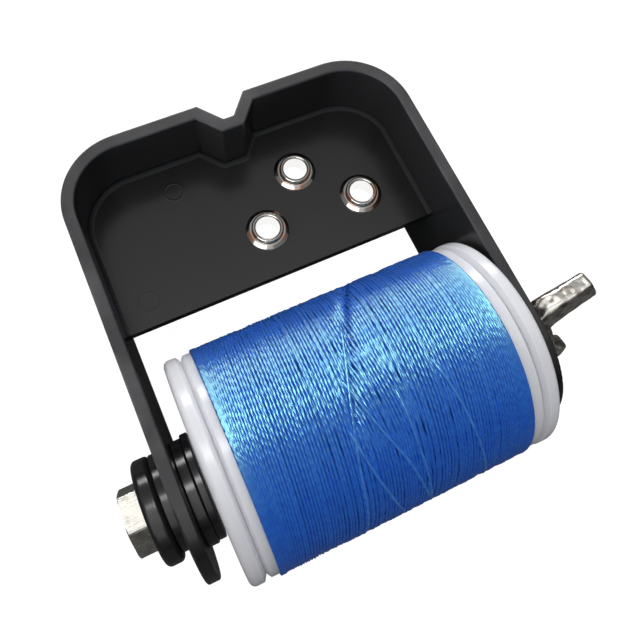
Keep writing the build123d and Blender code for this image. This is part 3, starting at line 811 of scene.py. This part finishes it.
# Reach from the bolt's axis and height over the seat, in mm, of a wing's control points.
WING_OUTER = ((4.6, 0.9), (10.4, 0.6), (10.9, 7.0), (12.7, 12.6))
WING_INNER = ((3.0, 4.9), (4.4, 7.5), (6.0, 11.6), (7.45, 15.45))
WING_TIP_THICKNESS = 3.9 * MM
WING_TAPER = 1.0 * MM
WING_ROOT_FLARE = 1.0 * MM
ROOT_FLARE_REACH = 0.12         # of the wing's length
WING_OFFSET = 0.35 * MM         # cast this far off the middle of the hub
WING_SPLAY = math.radians(5)    # the far wing is bent this much further out
FAR_WING_SCALE = 0.84           # the far wing is cast a little shorter
WING_TIP_ROUND = 0.65 * MM
WING_TIP_STEPS = 5
SWELL = 0.28 * MM               # unevenness of the cast wings' sides
SWELL_LENGTH = 5 * MM
SWELL_WAVES = 9
WING_SECTIONS = 44
WING_SIDES = 56
WING_SQUARENESS = 4.5           # 2 makes its section an ellipse, more makes it squarer


def bezier(controls, share):
    """Points on a cubic curve, in metres, from four control points in mm."""
    rest = 1 - share
    weights = np.stack([rest ** 3, 3 * share * rest ** 2, 3 * share ** 2 * rest, share ** 3], 1)
    return weights @ np.array(controls) * MM


def wing_points(rng):
    """One wing as sections from hub to tip, each point given as reach, sideways place and height."""
    share = np.linspace(0, 1, WING_SECTIONS)
    inner, outer = bezier(WING_INNER, share), bezier(WING_OUTER, share)
    flare = WING_ROOT_FLARE * np.exp(-share / ROOT_FLARE_REACH)
    thick = WING_TIP_THICKNESS + WING_TAPER * (1 - share) + flare
    bend = np.linspace(0, math.pi / 2, WING_TIP_STEPS + 1)[1:]
    inner = np.concatenate([inner, np.repeat(inner[-1:], len(bend), 0)])
    outer = np.concatenate([outer, np.repeat(outer[-1:], len(bend), 0)])
    trim = np.concatenate([np.zeros(WING_SECTIONS), WING_TIP_ROUND * (1 - np.cos(bend))])
    reach_on = np.concatenate([np.zeros(WING_SECTIONS), WING_TIP_ROUND * np.sin(bend)])
    thick = np.concatenate([thick, np.full(len(bend), thick[-1])])
    across = outer - inner
    width = np.linalg.norm(across, axis=1)
    across /= width[:, None]
    onward = np.stack([-across[:, 1], across[:, 0]], 1)
    middle = (inner + outer) / 2 + onward * reach_on[:, None]
    around = np.arange(WING_SIDES) * TURN / WING_SIDES
    power = 2 / WING_SQUARENESS
    wide = np.sign(np.cos(around)) * np.abs(np.cos(around)) ** power
    deep = np.sign(np.sin(around)) * np.abs(np.sin(around)) ** power
    flat = middle[:, None] + (width / 2 - trim)[:, None, None] * wide[None, :, None] * across[:, None]
    side = (thick / 2 - trim)[:, None] * deep[None]
    points = np.stack([flat[..., 0], side, flat[..., 1]], -1)
    waves = rng.normal(0, TURN / SWELL_LENGTH, (SWELL_WAVES, 3))
    swell = np.sin(points @ waves.T + rng.uniform(0, TURN, SWELL_WAVES)).mean(-1)
    points[..., 1] += SWELL * swell * deep + WING_OFFSET
    return points


class OBJECT_OT_jig_wing_nut(bpy.types.Operator):
    """Makes the cast wing nut: a tapered hub and two uneven, dimpled wings"""

    bl_idname = "object.jig_wing_nut"
    bl_label = "Make wing nut"

    def execute(self, context):
        settings = context.scene.jig_hardware
        rng = np.random.default_rng(settings.casting_seed)
        seat, top = NUT_LOW.x, NUT_LOW.x + HUB_HEIGHT
        rings = [
            (seat, HUB_BASE - 0.4 * MM), (seat + 0.15 * MM, HUB_BASE - 0.1 * MM),
            (seat + 0.5 * MM, HUB_BASE), (top - 0.6 * MM, HUB_TOP + 0.1 * MM),
            (top - 0.2 * MM, HUB_TOP - 0.1 * MM), (top, HUB_TOP - 0.5 * MM),
            (top, NUT_BORE + 0.4 * MM), (top - 0.4 * MM, NUT_BORE),
            (seat + 0.4 * MM, NUT_BORE), (seat, NUT_BORE + 0.4 * MM),
        ]
        points = turned_rings(rings, WING_SIDES, BOLT_CENTRE)
        faces = joined_rings(len(rings), WING_SIDES, closed=True)
        for facing, splay, scale in ((1, 0, 1), (-1, WING_SPLAY, FAR_WING_SCALE)):
            sections = wing_points(rng)
            reach, side, height = (sections[..., i].ravel() for i in range(3))
            root = HUB_TOP * (1 - scale) + HUB_TOP * math.sin(splay) * 1j
            bent = (reach + height * 1j) * scale * complex(math.cos(splay), -math.sin(splay)) + root
            reach, height = bent.real, bent.imag
            x = seat + height
            y = BOLT_CENTRE.y + facing * (reach * math.sin(WING_TURN) + side * math.cos(WING_TURN))
            z = BOLT_CENTRE.z + facing * (reach * math.cos(WING_TURN) - side * math.sin(WING_TURN))
            first = len(points)
            points += np.stack([x, y, z], 1).tolist()
            wing = capped_rings(len(sections), WING_SIDES)
            faces += [tuple(first + i for i in face) for face in wing]
        material = zinc_cast_bright(settings)
        nut = piece_from("wing_nut_cast", points, faces, material, "wing_nut",
                         crease=60)
        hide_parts("wing_nut")
        return {"FINISHED"}


# ---------------- stage
class StageSettings(bpy.types.PropertyGroup):
    floor_colour: bpy.props.FloatVectorProperty(
        name="Floor colour", description="Colour of the sheet under the jig", size=4,
        subtype="COLOR", default=srgb("#606060"))
    floor_glow: bpy.props.FloatProperty(
        name="Floor glow", description="Strength of the light through the sheet", default=0.98)
    zenith: bpy.props.FloatProperty(
        name="Zenith", description="Strength of the even light overhead", default=0.55)
    zenith_lobe: bpy.props.FloatProperty(
        name="Zenith lobe", description="Added strength straight overhead", default=0.5)
    horizon: bpy.props.FloatProperty(
        name="Horizon", description="Strength of the even light from the sides", default=0.04)
    key: bpy.props.FloatProperty(
        name="Key light", description="Power of the soft light beyond the notch", default=2.2,
        unit="POWER")
    front: bpy.props.FloatProperty(
        name="Front light", description="Power of the broad light on the spool's side", default=0.8,
        unit="POWER")
    over: bpy.props.FloatProperty(
        name="Over light", description="Power of the light above the notch", default=0.31,
        unit="POWER")
    top: bpy.props.FloatProperty(
        name="Top light", description="Power of the small light overhead", default=0.5,
        unit="POWER")
    side: bpy.props.FloatProperty(
        name="Side light", description="Power of the light on the tray's right wall", default=8.0,
        unit="POWER")
    glint_low: bpy.props.FloatProperty(
        name="Low glint", description="Power of the thread's own light beyond the notch",
        default=28.5, unit="POWER")
    glint_high: bpy.props.FloatProperty(
        name="High glint", description="Power of the thread's own light overhead", default=19.5,
        unit="POWER")
    wash: bpy.props.FloatProperty(
        name="Wash", description="Power of the diffuse light on the thread's upper side",
        default=0.5, unit="POWER")
    crescent: bpy.props.FloatProperty(
        name="Crescent light", description="Power of the light on the eyelets' near edges",
        default=2.2, unit="POWER")


CAMERA_PLACE = Vector((-28.95, -31.57, 150.76)) * MM
CAMERA_AIM = Vector((1.07, 9.92, 21.15)) * MM
CAMERA_ROLL = math.radians(11.89)
CAMERA_LENS = 38.93
CAMERA_SHIFT = (0.0253, -0.0976)


def place_camera():
    """The camera, close above the spool and turned so that the bolt climbs to the right."""
    data = bpy.data.cameras.new("camera")
    data.lens = CAMERA_LENS
    data.shift_x, data.shift_y = CAMERA_SHIFT
    data.clip_start, data.clip_end = 5 * MM, 5.0
    camera = bpy.data.objects.new("camera", data)
    bpy.context.scene.collection.objects.link(camera)
    camera.location = CAMERA_PLACE
    camera.rotation_mode = "QUATERNION"
    look = (CAMERA_AIM - CAMERA_PLACE).to_track_quat("-Z", "Y")
    camera.rotation_quaternion = look @ Quaternion((0, 0, 1), CAMERA_ROLL)
    bpy.context.scene.camera = camera


LIGHT_DISTANCE = 0.6
STAGE_REACH = 3.0               # metres from the middle of the stage to its walls
# Name of a light and of its power's setting, the direction it comes from, its sides in metres.
LIGHTS = (
    ("key", (0.2, 0.88, 0.42), (0.5, 0.12)),
    ("front", (-0.3, -0.45, 0.85), (0.6, 0.6)),
    ("over", (-0.2, 0.48, 0.85), (0.25, 0.25)),
    ("top", (-0.05, 0.12, 0.98), (0.12, 0.12)),
    ("side", (-0.97, -0.05, 0.24), (0.5, 0.3)),
    ("crescent", (-0.55, -0.33, 0.76), (0.45, 0.3)),
    ("glint_low", (0.1, 0.865, 0.5), (1.0, 0.66)),
    ("glint_high", (0.02, 0.31, 0.95), (0.8, 0.38)),
    ("wash", (0.1, 0.83, 0.54), (0.4, 0.4)),
)


def soft_light(name, towards, size, power):
    """A white area light that shines at the jig from a direction."""
    data = bpy.data.lights.new(name, "AREA")
    data.shape = "RECTANGLE"
    data.size, data.size_y = size
    data.energy = power
    lamp = bpy.data.objects.new(name, data)
    bpy.context.scene.collection.objects.link(lamp)
    middle = (CAD_BOX[0] + CAD_BOX[1]) / 2
    lamp.location = middle + Vector(towards).normalized() * LIGHT_DISTANCE
    lamp.rotation_mode = "QUATERNION"
    lamp.rotation_quaternion = (middle - lamp.location).to_track_quat("-Z", "Y")
    return lamp


def stage_sheet(name, vertices, faces, material):
    """Part of the stage: the floor or the walls that close it in."""
    mesh = bpy.data.meshes.new(name)
    mesh.from_pydata(vertices, [], faces)
    mesh.materials.append(material)
    sheet = bpy.data.objects.new(name, mesh)
    bpy.context.scene.collection.objects.link(sheet)
    return sheet


def eyelet_nodes():
    """The CAD nodes of the eyelets and their washers."""
    return [node for name, node in frame["nodes"].items() if name.startswith("eyelet")]


def light_only(source, lit):
    """Keeps a light, or a glowing object, to the objects it is meant for."""
    group = bpy.data.collections.new("lit_by_" + source.name)
    for made in lit:
        group.objects.link(made)
    source.light_linking.receiver_collection = group


def soft_sky(scene, settings):
    """Soft light all round, weak from the sides and strongest overhead."""
    world = bpy.data.worlds.new("studio")
    world.use_nodes = True
    tree = world.node_tree
    upward = add(tree, "ShaderNodeSeparateXYZ", {
        "Vector": add(tree, "ShaderNodeTexCoord").outputs["Generated"],
    }).outputs["Z"]
    even = add(tree, "ShaderNodeMapRange", {
        "Value": upward, "From Min": 0.1, "From Max": 0.9,
        "To Min": settings.horizon, "To Max": settings.zenith,
    }).outputs["Result"]
    lobe = add(tree, "ShaderNodeMapRange", {
        "Value": upward, "From Min": 0.86, "From Max": 0.99, "To Max": settings.zenith_lobe,
    }).outputs["Result"]
    strength = add(tree, "ShaderNodeMath", {0: even, 1: lobe}, operation="ADD").outputs[0]
    tree.nodes["Background"].inputs["Color"].default_value = (1.0, 1.0, 1.0, 1.0)
    tree.links.new(strength, tree.nodes["Background"].inputs["Strength"])
    scene.world = world


def hang_lights(scene, settings):
    """The soft lights, all but one of them kept to the pieces whose gleam they shape."""
    lamps = {
        name: soft_light(name, towards, size, getattr(settings, name))
        for name, towards, size in LIGHTS
    }
    meshes = [made for made in scene.objects if made.type == "MESH"]
    thread = [made for made in meshes if made.name.startswith("thread_")]
    lit = {
        "key": [made for made in meshes if made not in thread],
        "over": [made for made in meshes if made.name.startswith(("bolt", "wing", "nut_washer"))],
        "top": [frame["nodes"][name] for name in (*WASHERS, *SPOOL_PIECES)],
        "side": [frame["nodes"]["tray"]],
        "crescent": eyelet_nodes(),
        "glint_low": thread, "glint_high": thread, "wash": thread,
    }
    for name, pieces in lit.items():
        light_only(lamps[name], pieces)
    for name in ("glint_low", "glint_high"):
        lamps[name].visible_diffuse = False
    for name in ("side", "wash"):
        lamps[name].visible_glossy = False


class OBJECT_OT_jig_stage(bpy.types.Operator):
    """Lays the pale floor and backdrop and sets the lights and the camera"""

    bl_idname = "object.jig_stage"
    bl_label = "Set stage"

    def execute(self, context):
        settings = context.scene.jig_stage
        opal = acrylic_lit_from_below(settings)
        corners = ((-1, -1), (1, -1), (1, 1), (-1, 1))
        edge = [(x * STAGE_REACH, y * STAGE_REACH, 0) for x, y in corners]
        floor = stage_sheet("floor", edge, [(0, 1, 2, 3)], opal)
        raised = [(x, y, STAGE_REACH) for x, y, _ in edge]
        walls = [(i, (i + 1) % 4, (i + 1) % 4 + 4, i + 4) for i in range(4)]
        backdrop = stage_sheet("backdrop", edge + raised, walls, opal)
        # The walls only close the view above the floor, so they neither light nor shade the part.
        for rays in ("diffuse", "glossy", "transmission", "shadow"):
            setattr(backdrop, "visible_" + rays, False)
        light_only(floor, eyelet_nodes())
        soft_sky(context.scene, settings)
        hang_lights(context.scene, settings)
        context.scene.view_settings.view_transform = "Standard"
        place_camera()
        return {"FINISHED"}


# ---------------- panel and start
PIECES = (
    OBJECT_OT_jig_tray, OBJECT_OT_jig_eyelets, OBJECT_OT_jig_washers, OBJECT_OT_jig_bolt,
    OBJECT_OT_jig_wing_nut, OBJECT_OT_jig_spool, OBJECT_OT_jig_thread, OBJECT_OT_jig_stage,
)
SETTINGS = {
    "jig_thread": ThreadSettings, "jig_plastic": PlasticSettings,
    "jig_hardware": HardwareSettings, "jig_stage": StageSettings,
}


class VIEW3D_PT_jig(bpy.types.Panel):
    """Lists the jig's settings and pieces"""

    bl_label = "Serving jig"
    bl_idname = "VIEW3D_PT_jig"
    bl_space_type = "VIEW_3D"
    bl_region_type = "UI"
    bl_category = "Serving jig"

    def draw(self, context):
        for group in SETTINGS:
            box = self.layout.box()
            settings = getattr(context.scene, group)
            for name in settings.bl_rna.properties.keys():
                if name not in ("rna_type", "name"):
                    box.prop(settings, name)
        for operator in PIECES:
            self.layout.operator(operator.bl_idname)


def register():
    """Registers the classes and hangs the settings on the scene."""
    for cls in (*SETTINGS.values(), *PIECES, VIEW3D_PT_jig):
        bpy.utils.register_class(cls)
    for name, cls in SETTINGS.items():
        setattr(bpy.types.Scene, name, bpy.props.PointerProperty(type=cls))


def unregister():
    """Takes the settings and the classes away again."""
    for name in SETTINGS:
        delattr(bpy.types.Scene, name)
    for cls in reversed((*SETTINGS.values(), *PIECES, VIEW3D_PT_jig)):
        bpy.utils.unregister_class(cls)


def main():
    """Makes every piece in turn."""
    register()
    for operator in PIECES:
        group, name = operator.bl_idname.split(".")
        getattr(getattr(bpy.ops, group), name)()


if __name__ == "__main__":
    main()
